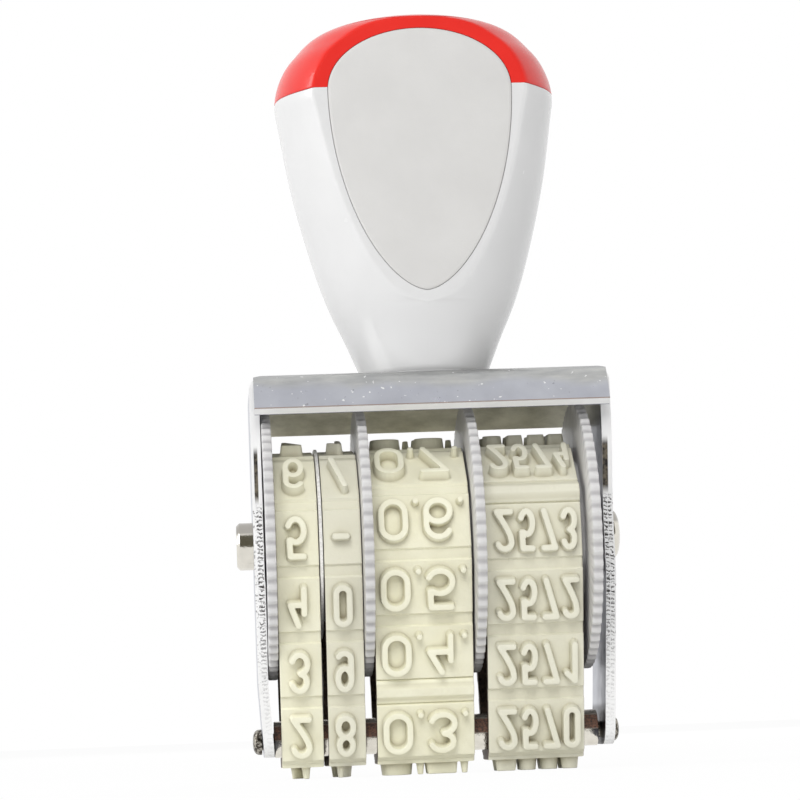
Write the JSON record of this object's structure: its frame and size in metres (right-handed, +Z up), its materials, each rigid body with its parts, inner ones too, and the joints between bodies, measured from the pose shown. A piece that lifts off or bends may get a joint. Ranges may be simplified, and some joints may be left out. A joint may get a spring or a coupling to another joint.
{
  "type": "date stamp",
  "caption": "Hand date stamp: bulb handle over a pressed steel frame with thumb wheels that turn rubber bands of raised figures over a platen bar.",
  "frame": {"origin": "centre of the print face, on the faces of the lowest characters", "axes": "+Z up from the print face to the handle's top; X along the axle, +X towards the year band; +Y to the back, away from the face with the plate"},
  "size_m": [0.0431, 0.03, 0.0858],
  "materials": {
    "frame_steel": "satin",
    "bright_steel": "polished",
    "handle_white": "gloss",
    "handle_red": "gloss",
    "plate_grey": "matte",
    "wheel_plastic": "satin",
    "band_rubber": "matte"
  },
  "bodies": {
    "stamp_frame": {"frame": "frame_steel", "handle_body": "handle_white", "handle_cap": "handle_red", "front_plate": "plate_grey", "handle_screw": "bright_steel", "screw_washer": "bright_steel", "axle": "bright_steel", "divider_disc": "bright_steel", "spacer_ring": "wheel_plastic", "spring_washer": "bright_steel", "band_day_tens": "band_rubber", "band_day_units": "band_rubber", "band_month": "band_rubber", "band_year": "band_rubber", "platen_bar": "bright_steel", "platen_rod": "bright_steel"},
    "day_tens_wheel": {"wheel_day_tens": "wheel_plastic"},
    "day_units_wheel": {"wheel_day_units": "wheel_plastic"},
    "month_wheel": {"wheel_month": "wheel_plastic"},
    "year_wheel": {"wheel_year": "wheel_plastic"}
  },
  "joints": [
    {"name": "day_tens_turn", "type": "hinge", "parent": "stamp_frame", "child": "day_tens_wheel", "pos_m": [-0.01825, 0, 0.02595], "axis": [1, 0, 0], "continuous": true},
    {"name": "day_units_turn", "type": "hinge", "parent": "stamp_frame", "child": "day_units_wheel", "pos_m": [-0.00775, 0, 0.02595], "axis": [1, 0, 0], "continuous": true},
    {"name": "month_turn", "type": "hinge", "parent": "stamp_frame", "child": "month_wheel", "pos_m": [0.00435, 0, 0.02595], "axis": [1, 0, 0], "continuous": true},
    {"name": "year_turn", "type": "hinge", "parent": "stamp_frame", "child": "year_wheel", "pos_m": [0.01685, 0, 0.02595], "axis": [1, 0, 0], "continuous": true}
  ]
}
